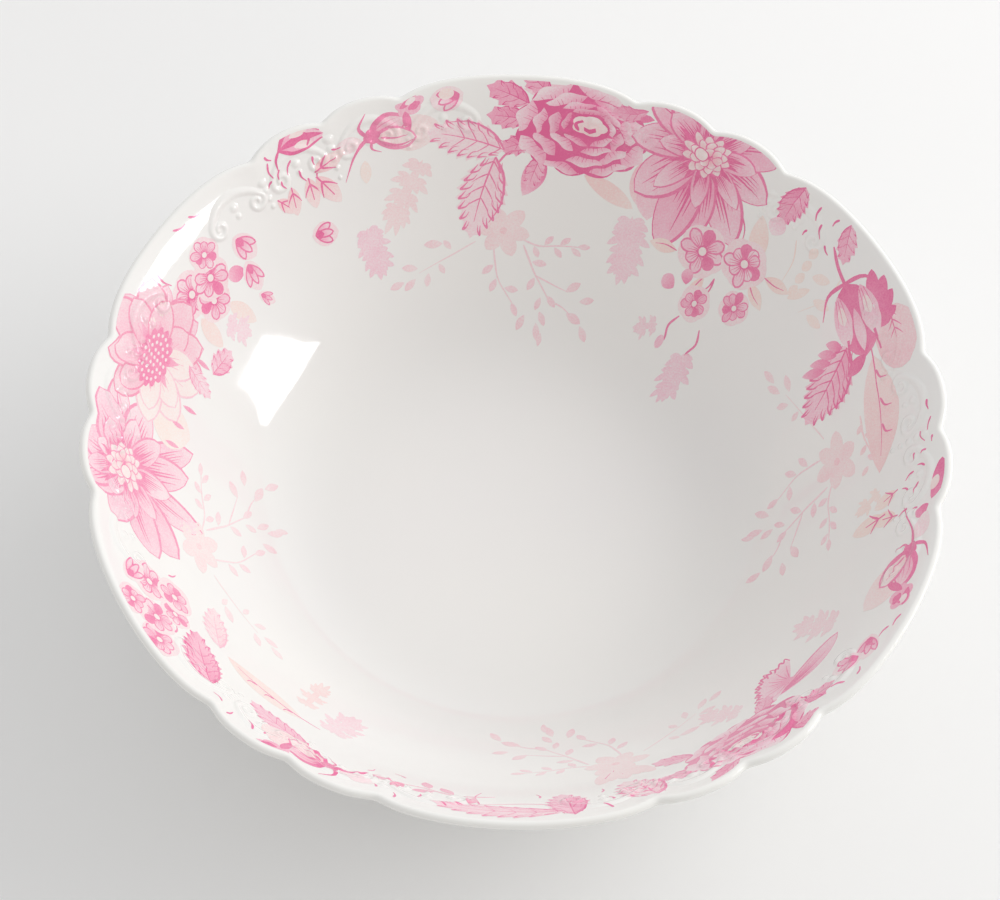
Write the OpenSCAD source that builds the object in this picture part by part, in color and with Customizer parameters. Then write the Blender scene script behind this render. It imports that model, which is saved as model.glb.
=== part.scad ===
// Porcelain serving bowl: a flared round bowl with a lobed rim, a turned
// foot ring and six raised scroll panels inside the rim.
// The origin is the centre of the foot ring's resting face, with +Z up.

/* [Bowl] */
// Diameter over the tips of the rim lobes
rim_d = 330; // [280:5:360]
// Height from the table to the top of the rim
bowl_h = 100; // [92:1:112]
// Thickness of the wall
wall_t = 4.2; // [3.6:0.1:5]
// Thickness of the floor
floor_t = 5.5; // [5:0.1:6.5]
// Slope of the wall at the lip, in degrees
lip_slope = 41; // [36:1:46]

/* [Rim lobes] */
// Number of lobe groups round the rim, each one long lobe and two small ones
groups = 6; // [6]
// Depth of the notches between the lobes
notch_d = 3.6; // [2.8:0.1:4.2]
// Turn of the first pair of small lobes from +X, in degrees
rim_turn = 2.7; // [0:0.1:59]

/* [Foot ring] */
// Outer diameter of the foot ring at the table
foot_d = 138; // [130:1:142]
// Height of the foot ring
foot_h = 8.5; // [7:0.5:10]
// Width of the face that the bowl rests on
foot_face_w = 4; // [3:0.5:6]

/* [Relief] */
// Height of the scrolls above the wall
relief_h = 1.0; // [0.6:0.1:1.4]
// Width of a scroll's ridge
scroll_w = 2.2; // [1.8:0.1:2.6]

/* [Hidden] */

rim_r = rim_d / 2;
floor_z = foot_h + floor_t;
depth = bowl_h - floor_z;
group_angle = 360 / groups;
curve_steps = 14;
lip_steps = 8;
clear = 1;

// The lip is a half round. Its centre sets the highest and widest points.
lip_r = wall_t / 2;
lip_centre = [rim_r - lip_r, bowl_h - lip_r];

// Inner wall: a flat floor, then two Bezier curves that share a slope where
// they meet, so the floor's corner sweeps up into a flared wall.
floor_edge = [0.44 * rim_r, floor_z];
mid_wall = [0.76 * rim_r, floor_z + 0.442 * depth];
mid_run = [0.11 * rim_r, 0.2263 * depth];
lip_in = lip_centre + lip_r * [-sin(lip_slope), cos(lip_slope)];
lip_run = 0.11 * rim_r * [cos(lip_slope), sin(lip_slope)];
corner_curve = [floor_edge, floor_edge + [0.12 * rim_r, 0],
    mid_wall - 1.1 * mid_run, mid_wall];
flare_curve = [mid_wall, mid_wall + mid_run, lip_in - lip_run, lip_in];

// Rim lobes, as arcs in plan. A long lobe runs just outside the lip, so the
// lip stays whole there, and turns in at both ends on smaller arcs. A small
// lobe is one arc. Arcs that meet overlap by lap, so that they cross.
lap = 0.25;
long_half = 10.8;
long_reach = rim_r + 0.1 * notch_d;
long_end_r = 0.2424 * rim_r;
small_half = 6.1;
small_r = 0.2297 * rim_r;
small_reach = lip_centre[0] + 0.55 * lip_r;

// Scrolls, as rings in plan, each set in from the lobe that it follows
scroll_in = 9;
volute_r = 4;
volute_eye_r = 1.1;
bead_in = 21.5;

function bezier(p, t) =
    pow(1 - t, 3) * p[0] + 3 * pow(1 - t, 2) * t * p[1]
    + 3 * (1 - t) * t * t * p[2] + pow(t, 3) * p[3];

function bezier_slope(p, t) =
    pow(1 - t, 2) * (p[1] - p[0]) + 2 * (1 - t) * t * (p[2] - p[1])
    + t * t * (p[3] - p[2]);

// The point on a curve, moved along its normal towards the inside by d
function inset_point(p, t, d) =
    let (s = bezier_slope(p, t))
    bezier(p, t) + d * [-s[1], s[0]] / norm(s);

// The inner wall from the floor's edge to the lip, moved inwards by d. A
// negative d gives the outside of the wall, and floor_d is its value at the
// floor's edge, where the wall is thicker.
function wall_line(d, floor_d) = concat(
    [for (i = [0 : curve_steps - 1])
        let (t = i / curve_steps)
        inset_point(corner_curve, t, floor_d + (d - floor_d) * t)],
    flare_line(d));

function flare_line(d) =
    [for (i = [0 : curve_steps]) inset_point(flare_curve, i / curve_steps, d)];

module wall_section() {
    lip = [for (i = [1 : lip_steps - 1])
        let (a = 90 + lip_slope - 180 * i / lip_steps)
        lip_centre + lip_r * [cos(a), sin(a)]];
    outside = wall_line(-wall_t, -floor_t);
    last = len(outside) - 1;
    polygon(concat([[0, floor_z]], wall_line(0, 0), lip,
        [for (i = [0 : last]) outside[last - i]], [[0, foot_h]]));
}

module sector(half, reach) {
    polygon([[0, 0], reach * [cos(half), -sin(half)],
        reach / cos(half) * [1, 0], reach * [cos(half), sin(half)]]);
}

module long_lobe() {
    intersection() {
        circle(r = long_reach, $fn = 240);
        sector(long_half, 1.2 * rim_r);
    }
    for (side = [-1, 1])
        rotate(side * long_half)
            translate([long_reach + lap - long_end_r, 0])
                circle(r = long_end_r, $fn = 96);
}

module small_lobe() {
    translate([small_reach - small_r, 0])
        circle(r = small_r, $fn = 96);
}

// The rim in plan: the lobes, and a disc that fills the middle
module rim_plan() {
    circle(r = rim_r - 1.6 * notch_d, $fn = 240);
    for (g = [0 : groups - 1])
        rotate(rim_turn + g * group_angle) {
            for (side = [-1, 1])
                rotate(side * small_half) small_lobe();
            rotate(group_angle / 2) long_lobe();
        }
}

module bowl_body() {
    color("ghostwhite")
        intersection() {
            rotate_extrude($fn = 240) wall_section();
            linear_extrude(height = bowl_h + clear) rim_plan();
        }
}

// A ring with a flat resting face, tapered on both sides up to the floor
module foot_ring() {
    face_out = foot_d / 2;
    face_in = face_out - foot_face_w;
    taper = 0.35 * foot_h;
    bevel = 0.8;
    color("seashell")
        rotate_extrude($fn = 180)
            polygon([[face_in, 0], [face_out - bevel, 0], [face_out, bevel],
                [face_out + 1, foot_h], [face_in - taper, foot_h],
                [face_in - bevel, bevel]]);
}

module ring(r, w, fn) {
    difference() {
        circle(r = r + w / 2, $fn = fn);
        circle(r = r - w / 2, $fn = fn);
    }
}

// A C-scroll: an arc of radius r with a volute turned in at each end. Each
// volute is a small ring round a bead.
module c_scroll(r, half) {
    intersection() {
        ring(r, scroll_w, 96);
        sector(half, 1.2 * r);
    }
    for (side = [-1, 1])
        rotate(side * half)
            translate([r + scroll_w / 2 + lap - volute_r, 0]) {
                ring(volute_r - scroll_w / 2, scroll_w, 32);
                circle(r = volute_eye_r, $fn = 24);
            }
}

// Beads that run in from the rim along one line and get smaller
module beads(first_r, bead_r, count) {
    for (i = [0 : count - 1])
        translate([first_r - 2.5 * bead_r * i, 0])
            circle(r = bead_r * (1 - 0.18 * i), $fn = 24);
}

module scroll_plan() {
    small_scroll_half = 24;
    flank_scroll_half = 22;
    flank_angle = group_angle / 2 - long_half;
    for (side = [-1, 1]) {
        rotate(side * small_half)
            translate([small_reach - small_r, 0])
                c_scroll(small_r - scroll_in, small_scroll_half);
        rotate(side * flank_angle)
            translate([rim_r - long_end_r, 0])
                c_scroll(long_end_r - scroll_in, flank_scroll_half);
        rotate(side * 2 * small_half)
            beads(rim_r - bead_in, 1.8, 3);
    }
    beads(rim_r - bead_in, 2.2, 4);
}

// One panel: the scrolls in plan, kept only in a thin layer on the wall
module relief_panel(g) {
    inner = flare_line(relief_h);
    last = len(inner) - 1;
    color("white")
        intersection() {
            rotate_extrude($fn = 240)
                polygon(concat(flare_line(0),
                    [for (i = [0 : last]) inner[last - i]]));
            rotate(rim_turn + g * group_angle)
                linear_extrude(height = bowl_h + clear) scroll_plan();
        }
}

module rim_relief_1() { relief_panel(0); }
module rim_relief_2() { relief_panel(1); }
module rim_relief_3() { relief_panel(2); }
module rim_relief_4() { relief_panel(3); }
module rim_relief_5() { relief_panel(4); }
module rim_relief_6() { relief_panel(5); }

bowl_body();
foot_ring();
rim_relief_1();
rim_relief_2();
rim_relief_3();
rim_relief_4();
rim_relief_5();
rim_relief_6();
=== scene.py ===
import math

import bpy
import numpy as np
from mathutils import Matrix, Vector
from mathutils.geometry import delaunay_2d_cdt


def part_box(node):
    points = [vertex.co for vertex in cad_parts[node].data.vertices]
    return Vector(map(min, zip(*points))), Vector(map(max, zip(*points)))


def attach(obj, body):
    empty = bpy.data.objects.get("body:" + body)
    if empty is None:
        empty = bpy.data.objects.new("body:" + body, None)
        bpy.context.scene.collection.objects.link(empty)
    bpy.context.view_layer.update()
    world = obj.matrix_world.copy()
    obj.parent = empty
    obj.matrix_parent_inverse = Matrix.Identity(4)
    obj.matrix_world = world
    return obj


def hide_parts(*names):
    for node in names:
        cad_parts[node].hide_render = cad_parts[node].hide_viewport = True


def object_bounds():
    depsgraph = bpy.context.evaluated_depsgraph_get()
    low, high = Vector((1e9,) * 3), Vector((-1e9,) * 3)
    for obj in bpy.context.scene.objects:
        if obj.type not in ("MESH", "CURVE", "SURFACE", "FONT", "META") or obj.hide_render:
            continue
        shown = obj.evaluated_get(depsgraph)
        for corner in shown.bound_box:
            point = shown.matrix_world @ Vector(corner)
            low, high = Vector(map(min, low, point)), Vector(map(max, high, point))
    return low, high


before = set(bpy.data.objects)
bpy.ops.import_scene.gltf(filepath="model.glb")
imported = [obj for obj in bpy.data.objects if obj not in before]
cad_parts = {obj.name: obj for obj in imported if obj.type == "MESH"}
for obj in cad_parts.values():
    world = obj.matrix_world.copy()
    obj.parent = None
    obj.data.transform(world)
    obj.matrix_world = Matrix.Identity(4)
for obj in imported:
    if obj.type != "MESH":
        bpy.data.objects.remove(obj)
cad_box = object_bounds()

# ---------------------------------------------------------------- dimensions
# Lengths are in millimetres and angles in degrees, until a mesh is made.
MM = 0.001
RIM_R = cad_box[1][1] / MM
RIM_Z = cad_box[1][2] / MM
FOOT_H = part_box("bowl_body")[0][2] / MM
FOOT_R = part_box("foot_ring")[1][0] / MM
FLOOR_T = 5.5
WALL_T = 4.2
LIP_R = 1.7
LIP_SLOPE = math.radians(41)
FLOOR_Z = FOOT_H + FLOOR_T
FLOOR_R = 0.44 * RIM_R
DEPTH = RIM_Z - FLOOR_Z
# The wall's half-way point, where it flares
MID_R = 0.76 * RIM_R
MID_Z = FLOOR_Z + 0.442 * DEPTH
# How far a curve's handle reaches
HANDLE = 0.11 * RIM_R

# How far the section's change of slope is spread along the wall
SECTION_SOFT = 10.0

# Rim lobes: every 60 degrees there is a pair of small lobes and a long one.
GROUPS = 6
GROUP = 360 / GROUPS
RIM_TURN = 2.7
PAIR_HALF = 12.24
NOTCH_D = 3.6
SMALL_DROP = 0.6
LONG_POWER = 4.2
SMALL_POWER = 2.3
CUSP_SOFT = 0.45
LOBE_FADE = 15.0
PINCH = 0.5
PINCH_WIDTH = 2.2
PINCH_FADE = 11.0


# ------------------------------------------------------------- wall geometry
def bezier(p, t):
    t = t[:, None]
    return ((1 - t) ** 3 * p[0] + 3 * (1 - t) ** 2 * t * p[1]
            + 3 * (1 - t) * t * t * p[2] + t ** 3 * p[3])


def smooth(values, spread, ends):
    """Blurs a row of values with a bell curve that many samples wide. ends
    is edge for an open row, or wrap for one that goes round."""
    reach = int(4 * spread)
    k = np.exp(-0.5 * (np.arange(-reach, reach + 1) / spread) ** 2)
    return np.convolve(np.pad(values, reach, mode=ends), k / k.sum(), mode="valid")


def inner_line():
    """The inside of the wall in section, from the lip down to the middle of
    the floor: its distance along the wall, radius, height and inward normal.
    The slope is blurred, so that the glaze reflects without a kink."""
    cos_lip = math.cos(LIP_SLOPE)
    sin_lip = math.sin(LIP_SLOPE)
    lip_in = np.array([RIM_R - LIP_R * (1 + sin_lip), RIM_Z - LIP_R * (1 - cos_lip)])
    run = HANDLE * np.array([cos_lip, sin_lip])
    floor_edge = np.array([FLOOR_R, FLOOR_Z])
    mid = np.array([MID_R, MID_Z])
    mid_run = np.array([HANDLE, 0.2263 * DEPTH])
    flare = [lip_in, lip_in - run, mid + mid_run, mid]
    corner = [mid, mid - 1.1 * mid_run, floor_edge + [0.12 * RIM_R, 0], floor_edge]
    t = np.linspace(0, 1, 300)
    floor = np.linspace(floor_edge, [0, FLOOR_Z], 50)
    line = np.vstack([bezier(flare, t), bezier(corner, t)[1:], floor[1:]])
    along = np.concatenate([[0], np.cumsum(np.linalg.norm(np.diff(line, axis=0), axis=1))])
    even = np.linspace(0, along[-1], 900)
    gap = even[1]
    step = np.gradient(line, axis=0)
    slope = np.interp(even, along, np.arctan2(-step[:, 1], -step[:, 0]))
    slope = smooth(slope, SECTION_SOFT / gap, "edge")
    way = -np.stack([np.cos(slope), np.sin(slope)], axis=1)
    ends = np.vstack([[0, 0], np.cumsum((way[1:] + way[:-1]) * gap / 2, axis=0)]) + line[0]
    ends += (line[-1] - ends[-1]) * (even / even[-1])[:, None]
    return even, ends[:, 0], ends[:, 1], way[:, 1], -way[:, 0]


ALONG, LINE_R, LINE_Z, NORMAL_R, NORMAL_Z = inner_line()
S_END = ALONG[-1]
S_FLOOR = S_END - FLOOR_R


def periodic(table, phi):
    """Reads a table of values round the whole circle at phi."""
    return np.interp(np.mod(phi, 360), np.linspace(0, 360, len(table) + 1),
                     np.append(table, table[0]))


def lobe_tables():
    """How far the rim is cut back all round, and how deep in a notch each
    angle lies, both softened so that a notch is a round-bottomed cusp."""
    per_degree = 10
    phi = np.arange(360 * per_degree) / per_degree
    turn = np.abs(np.mod(phi - RIM_TURN + GROUP / 2, GROUP) - GROUP / 2)
    small = turn < PAIR_HALF
    half = PAIR_HALF / 2
    u_small = np.abs(turn - half) / half
    u_long = (GROUP / 2 - turn) / (GROUP / 2 - PAIR_HALF)
    cut = np.where(small,
                   SMALL_DROP + (NOTCH_D - SMALL_DROP) * u_small ** SMALL_POWER,
                   NOTCH_D * np.abs(u_long) ** LONG_POWER)
    near = np.minimum(turn, np.abs(turn - PAIR_HALF))
    notch = np.exp(-(near / PINCH_WIDTH) ** 2)
    return smooth(cut, CUSP_SOFT * per_degree, "wrap"), notch


RIM_CUT, NOTCH = lobe_tables()


def wall(phi, s, off=0.0):
    """Points of the wall. phi is the angle round the bowl, s the distance
    down the inside from the real rim, off the distance off the inside wall."""
    cut = periodic(RIM_CUT, phi) / math.cos(LIP_SLOPE)
    ref = np.clip(s + cut * np.exp(-s / LOBE_FADE), 0, S_END)
    off = off + PINCH * periodic(NOTCH, phi) * np.exp(-s / PINCH_FADE)
    r = np.interp(ref, ALONG, LINE_R) + off * np.interp(ref, ALONG, NORMAL_R)
    z = np.interp(ref, ALONG, LINE_Z) + off * np.interp(ref, ALONG, NORMAL_Z)
    a = np.radians(phi)
    return np.stack([r * np.cos(a), r * np.sin(a), z], axis=-1)


# ------------------------------------------------------------- mesh building
def new_piece(name, verts, faces, material):
    """A smooth-shaded piece of the bowl, made from points in millimetres."""
    mesh = bpy.data.meshes.new(name)
    mesh.from_pydata([tuple(v) for v in verts * MM], [], faces)
    mesh.validate()
    mesh.shade_smooth()
    mesh.materials.append(material)
    piece = bpy.data.objects.new(name, mesh)
    bpy.context.scene.collection.objects.link(piece)
    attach(piece, "root")
    return piece


def turned_mesh(rows, ring=False):
    """Joins rings of points, from one pole to the other, into a closed skin.
    A row of one point is a pole. With ring, the last row joins the first."""
    verts = np.vstack(rows)
    starts = np.cumsum([0] + [len(r) for r in rows])
    count = max(len(r) for r in rows)
    faces = []
    for k in range(len(rows) if ring else len(rows) - 1):
        a, b = starts[k], starts[(k + 1) % len(rows)]
        for i in range(count):
            j = (i + 1) % count
            if len(rows[k]) == 1:
                faces.append((a, b + i, b + j))
            elif len(rows[(k + 1) % len(rows)]) == 1:
                faces.append((a + j, a + i, b))
            else:
                faces.append((a + j, a + i, b + i, b + j))
    return verts, faces


BODY_COLUMNS = 1080
FOOT_COLUMNS = 360
BODY_PHI = np.arange(BODY_COLUMNS) * 360 / BODY_COLUMNS


def wall_thickness(s):
    """The wall thins towards the lip and thickens towards the floor."""
    return np.interp(s, (0, 26, 60, S_FLOOR), (2 * LIP_R, WALL_T, WALL_T, FLOOR_T))


def ring_rows():
    """The whole body as rings: up the inside, over the lip, down the outside
    and across the underside."""
    rows = [np.array([[0, 0, FLOOR_Z]])]
    lobed = 46  # the drop at which the lobes have faded out
    inside = np.concatenate([np.linspace(S_END - 12, S_FLOOR + 4, 6),
                             np.linspace(S_FLOOR, lobed, 24),
                             np.linspace(lobed - 3, 0, 22)])
    for s in inside:
        rows.append(wall(BODY_PHI, np.full(BODY_COLUMNS, s)))
    edge = wall(BODY_PHI, np.zeros(BODY_COLUMNS))
    back = wall(BODY_PHI, np.zeros(BODY_COLUMNS), -2 * LIP_R)
    centre = (edge + back) / 2
    up = (edge - back) / 2
    ring = np.radians(BODY_PHI)
    along = np.stack([-np.sin(ring), np.cos(ring), 0 * ring], axis=-1)
    out = np.cross(up, along)
    lip_steps = 10
    for k in range(1, lip_steps):
        a = math.pi * k / lip_steps
        rows.append(centre + math.cos(a) * up - math.sin(a) * out)
    outside = np.concatenate([np.linspace(0, lobed - 6, 14), np.linspace(lobed, S_FLOOR, 16)])
    for s in outside:
        rows.append(wall(BODY_PHI, np.full(BODY_COLUMNS, s), -wall_thickness(s)))
    for r in (60, 30, 10):
        rows.append(np.stack([r * np.cos(ring), r * np.sin(ring), FOOT_H + 0 * ring], axis=-1))
    rows.append(np.array([[0, 0, FOOT_H]]))
    return rows


def foot_rows():
    """The foot ring in section: hidden top, outer side with a fillet to the
    body, rounded resting face and sloping inner side."""
    top = FOOT_H + 0.3
    t = np.linspace(0, 1, 7)
    fillet_out = bezier(np.array([[FOOT_R + 2.2, top], [FOOT_R + 0.4, FOOT_H - 0.2],
                                  [FOOT_R - 0.1, FOOT_H - 1], [FOOT_R - 0.3, FOOT_H - 2.6]]), t)
    edge_out = bezier(np.array([[FOOT_R - 0.9, 1.3], [FOOT_R - 1, 0.45],
                                [FOOT_R - 1.4, 0], [FOOT_R - 2.2, 0]]), t)
    edge_in = bezier(np.array([[FOOT_R - 3.9, 0], [FOOT_R - 4.8, 0],
                               [FOOT_R - 5.2, 0.45], [FOOT_R - 5.4, 1.3]]), t)
    fillet_in = bezier(np.array([[FOOT_R - 6.9, FOOT_H - 2.6], [FOOT_R - 7.3, FOOT_H - 0.9],
                                 [FOOT_R - 8.2, FOOT_H - 0.2], [FOOT_R - 9.8, top]]), t)
    ring = np.radians(np.arange(FOOT_COLUMNS) * 360 / FOOT_COLUMNS)
    return [np.stack([r * np.cos(ring), r * np.sin(ring), z + 0 * ring], axis=-1)
            for r, z in np.vstack([fillet_out, edge_out, edge_in, fillet_in])]


# ----------------------------------------------------------------- materials
class Nodes:
    """A short way to write a node tree."""

    def __init__(self, name):
        self.material = bpy.data.materials.new(name)
        self.material.use_nodes = True
        self.tree = self.material.node_tree
        self.shader = self.tree.nodes["Principled BSDF"]

    def add(self, kind, props=None, **inputs):
        node = self.tree.nodes.new(kind)
        for key, value in (props or {}).items():
            setattr(node, key, value)
        for key, value in inputs.items():
            self.set(node, key.replace("_", " "), value)
        return node

    def set(self, node, key, value):
        socket = node.inputs[int(key)] if key.isdigit() else node.inputs[key]
        if isinstance(value, bpy.types.NodeSocket):
            self.tree.links.new(value, socket)
        else:
            socket.default_value = value

    def math(self, operation, a, b):
        node = self.add("ShaderNodeMath", {"operation": operation})
        self.set(node, "0", a)
        self.set(node, "1", b)
        return node.outputs[0]

    def noise(self, vector, scale, detail):
        node = self.add("ShaderNodeTexNoise", Vector=vector, Scale=scale, Detail=detail)
        return node.outputs["Fac"]

    def ramp(self, value, stops):
        node = self.add("ShaderNodeValToRGB", Fac=value)
        ramp = node.color_ramp
        while len(ramp.elements) < len(stops):
            ramp.elements.new(0.5)
        for element, (place, colour) in zip(ramp.elements, stops):
            element.position = place
            element.color = (*colour, 1.0)
        return node.outputs["Color"]

    def mix(self, factor, a, b):
        node = self.add("ShaderNodeMix", {"data_type": "RGBA"})
        self.set(node, "0", factor)
        self.set(node, "6", a)
        self.set(node, "7", b)
        return node.outputs[2]

    def bump(self, height, strength, distance):
        node = self.add("ShaderNodeBump", Height=height, Strength=strength, Distance=distance)
        self.set(self.shader, "Normal", node.outputs["Normal"])


PORCELAIN = (0.882, 0.879, 0.852)
PORCELAIN_COOL = (0.872, 0.868, 0.851)
COAT_WEIGHT = 0.6
COAT_ROUGHNESS = 0.03


def glaze_finish(nodes, point):
    """The clear gloss glaze that lies over clay and print alike."""
    shader = nodes.shader
    nodes.set(shader, "Roughness", 0.06)
    nodes.set(shader, "IOR", 1.5)
    nodes.set(shader, "Coat Weight", COAT_WEIGHT)
    nodes.set(shader, "Coat Roughness", COAT_ROUGHNESS)
    nodes.set(shader, "Coat IOR", 1.5)
    ripple = nodes.noise(point, 55.0, 2.0)
    nodes.bump(ripple, 0.06, 0.001)


def glazed_porcelain():
    """White porcelain under glaze, with faint cloudy warmth and rare specks."""
    nodes = Nodes("glazed_porcelain")
    point = nodes.add("ShaderNodeTexCoord").outputs["Object"]
    cloud = nodes.noise(point, 9.0, 3.0)
    white = nodes.ramp(cloud, [(0.35, PORCELAIN_COOL), (0.65, PORCELAIN)])
    cells = nodes.add("ShaderNodeTexVoronoi", {"feature": "F1"}, Vector=point, Scale=38.0)
    rare = nodes.add("ShaderNodeSeparateColor", Color=cells.outputs["Color"])
    chosen = nodes.math("GREATER_THAN", rare.outputs["Red"], 0.965)
    close = nodes.math("LESS_THAN", cells.outputs["Distance"], 0.018)
    speck = nodes.math("MULTIPLY", chosen, close)
    speck = nodes.math("MULTIPLY", speck, 0.55)
    nodes.set(nodes.shader, "Base Color", nodes.mix(speck, white, (0.42, 0.38, 0.33, 1)))
    glaze_finish(nodes, point)
    return nodes.material


def foot_finish():
    """Glaze down the foot ring's sides. The glaze is wiped off the resting
    face, which is bare clay: matt, warmer and a little rubbed."""
    nodes = Nodes("foot_ring_clay")
    point = nodes.add("ShaderNodeTexCoord").outputs["Object"]
    grain = nodes.noise(point, 900.0, 4.0)
    clay = nodes.ramp(grain, [(0.3, (0.62, 0.59, 0.53)), (0.7, (0.74, 0.71, 0.65))])
    height = nodes.add("ShaderNodeSeparateXYZ", Vector=point).outputs["Z"]
    wobble = nodes.math("MULTIPLY", nodes.noise(point, 60.0, 2.0), 0.001)
    glazed = nodes.math("GREATER_THAN", nodes.math("SUBTRACT", height, wobble), 0.0004)
    nodes.set(nodes.shader, "Base Color", nodes.mix(glazed, clay, (*PORCELAIN, 1)))
    rough = nodes.math("SUBTRACT", 0.85, nodes.math("MULTIPLY", glazed, 0.77))
    nodes.set(nodes.shader, "Roughness", rough)
    nodes.set(nodes.shader, "Coat Weight", nodes.math("MULTIPLY", glazed, COAT_WEIGHT))
    nodes.set(nodes.shader, "Coat Roughness", COAT_ROUGHNESS)
    nodes.bump(grain, 0.08, 0.0005)
    return nodes.material


def table_top():
    """The plain pale matt table."""
    nodes = Nodes("table_top")
    point = nodes.add("ShaderNodeTexCoord").outputs["Object"]
    soft = nodes.noise(point, 3.0, 2.0)
    colour = nodes.ramp(soft, [(0.3, (0.875, 0.875, 0.875)), (0.7, (0.895, 0.895, 0.895))])
    nodes.set(nodes.shader, "Base Color", colour)
    nodes.set(nodes.shader, "Roughness", 0.9)
    nodes.set(nodes.shader, "Specular IOR Level", 0.1)
    return nodes.material


# --------------------------------------------------------- relief inside rim
# A panel is centred on each pair of small lobes. x runs round the wall and y
# down from the rim, both in millimetres.
RELIEF_H = 0.62
RELIEF_CELL = 0.4
PANEL_HALF = 68.0
PANEL_DEPTH = 46.0
PANEL_R = 155.0
MM_PER_DEGREE = math.radians(1) * PANEL_R


def scroll_line(width, drop, curl, side):
    """Half of a C-scroll, from its middle out to a curled-in volute: points
    and the ridge's half width at each."""
    t = np.linspace(0, 1, 30)
    x = width * t
    y = drop * t ** 2.2
    turns = 1.15
    u = np.linspace(0, 1, 46)
    radius = curl * (1 - 0.72 * u)
    start = math.radians(38)
    cx = x[-1] - curl * math.sin(start)
    cy = y[-1] + curl * math.cos(start)
    a = start + turns * 2 * math.pi * u
    x = np.concatenate([x, cx + radius * np.sin(a)])
    y = np.concatenate([y, cy - radius * np.cos(a)])
    half = np.concatenate([1.9 - 0.5 * t, 1.4 - 0.5 * u])
    return side * x, y, half


def ridge(px, py, x, y, half):
    """Height from 0 to 1 of a rounded ridge that follows points x, y."""
    gap = np.hypot(px[..., None] - x, py[..., None] - y) / half
    near = np.clip(1 - gap.min(axis=-1) ** 2 / 1.9, 0, None)
    return near ** 1.5


def panel_heights():
    """A grid of one panel's heights: four C-scrolls, each drawn as two
    halves, with beads between them."""
    x = np.arange(-PANEL_HALF, PANEL_HALF + RELIEF_CELL, RELIEF_CELL)
    y = np.arange(0, PANEL_DEPTH, RELIEF_CELL)
    px, py = np.meshgrid(x, y, indexing="ij")
    height = np.zeros_like(px)
    beads = []
    for centre, top, width, drop, curl in ((16.5, 7.5, 11.5, 5.0, 4.6), (49.5, 8.5, 13.0, 5.5, 4.2)):
        for side in (-1, 1):
            for hand in (-1, 1):
                lx, ly, half = scroll_line(width, drop, curl, hand)
                height = np.maximum(height, ridge(px, py, side * centre + lx, top + ly, half))
            beads += [(side * centre, top + 5.4, 1.7, 0.9), (side * centre, top + 9.6, 1.2, 0.9)]
    for x, first, r, count in ((0, 7.5, 2.0, 5), (-33.5, 11, 1.7, 4), (33.5, 11, 1.7, 4)):
        beads += [(x, first + 2.35 * r * k, r * (1 - 0.13 * k), 1) for k in range(count)]
    for x, y, r, tall in beads:
        height = np.maximum(height, tall * ridge(px, py, np.array([x]), np.array([y]), r))
    return height * RELIEF_H


PANEL = panel_heights()


def relief(phi, s):
    """Height of the raised scrolls over the wall at each place."""
    turn = np.mod(phi - RIM_TURN + GROUP / 2, GROUP) - GROUP / 2
    fx = np.clip((turn * MM_PER_DEGREE + PANEL_HALF) / RELIEF_CELL, 0, PANEL.shape[0] - 1.001)
    fy = np.clip(s / RELIEF_CELL, 0, PANEL.shape[1] - 1.001)
    ix, iy = fx.astype(int), fy.astype(int)
    ax, ay = fx - ix, fy - iy
    return ((PANEL[ix, iy] * (1 - ax) + PANEL[ix + 1, iy] * ax) * (1 - ay)
            + (PANEL[ix, iy + 1] * (1 - ax) + PANEL[ix + 1, iy + 1] * ax) * ay)


def closed_patch(name, phi, s, faces, top, bottom, material, ink=None):
    """A thin closed skin on the wall. phi and s place each vertex, top and
    bottom are its heights over the inside wall. Its upper side takes exact
    wall normals, and ink gives each upper corner its printed tone."""
    count = len(phi)
    upper = wall(phi, s, top)
    lower = wall(phi, s, bottom)
    edges = dict.fromkeys(edge for face in faces for edge in zip(face, face[1:] + face[:1]))
    under = [tuple(count + v for v in reversed(face)) for face in faces]
    sides = [(b, a, a + count, b + count) for a, b in edges if (b, a) not in edges]
    piece = new_piece(name, np.vstack([upper, lower]), faces + under + sides, material)
    mesh = piece.data
    nudge = 0.15
    ways = []
    for a, b in ((nudge, 0), (0, nudge)):
        ahead = wall(phi + a, s + b, relief(phi + a, s + b))
        behind = wall(phi - a, s - b, relief(phi - a, s - b))
        ways.append(ahead - behind)
    normal = np.cross(*ways)
    normal /= np.linalg.norm(normal, axis=1)[:, None]
    corners = np.array([v for face in faces for v in face])
    all_normals = np.zeros((len(mesh.loops), 3))  # a zero lets Blender choose
    all_normals[:len(corners)] = normal[corners]
    mesh.normals_split_custom_set(all_normals.tolist())
    if ink is not None:
        layer = mesh.color_attributes.new("ink", "FLOAT_COLOR", "CORNER")
        values = np.zeros((len(mesh.loops), 4), dtype=np.float32)
        values[:len(ink)] = ink
        layer.data.foreach_set("color", values.ravel())
    return piece


def relief_panel(number, material):
    """One panel of scrolls and beads, kept only where it stands proud."""
    step = 0.55
    margin = 2
    proud = 0.012
    x = np.arange(-PANEL_HALF, PANEL_HALF, step)
    y = np.arange(margin, PANEL_DEPTH - margin, step)
    px, py = np.meshgrid(x, y, indexing="ij")
    phi = (RIM_TURN + number * GROUP + px / MM_PER_DEGREE).ravel()
    s = py.ravel()
    height = relief(phi, s)
    index = np.arange(px.size).reshape(px.shape)
    quads = np.stack([index[:-1, :-1], index[1:, :-1], index[1:, 1:], index[:-1, 1:]], axis=-1).reshape(-1, 4)
    keep = quads[(height[quads] > proud).any(axis=1)]
    used, faces = np.unique(keep, return_inverse=True)
    faces = [tuple(int(v) for v in f) for f in faces.reshape(keep.shape)]
    top = height[used] - 0.02
    return closed_patch("rim_scrolls_%d" % (number + 1), phi[used], s[used], faces,
                        top, np.full(len(used), -0.4), material)


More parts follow.
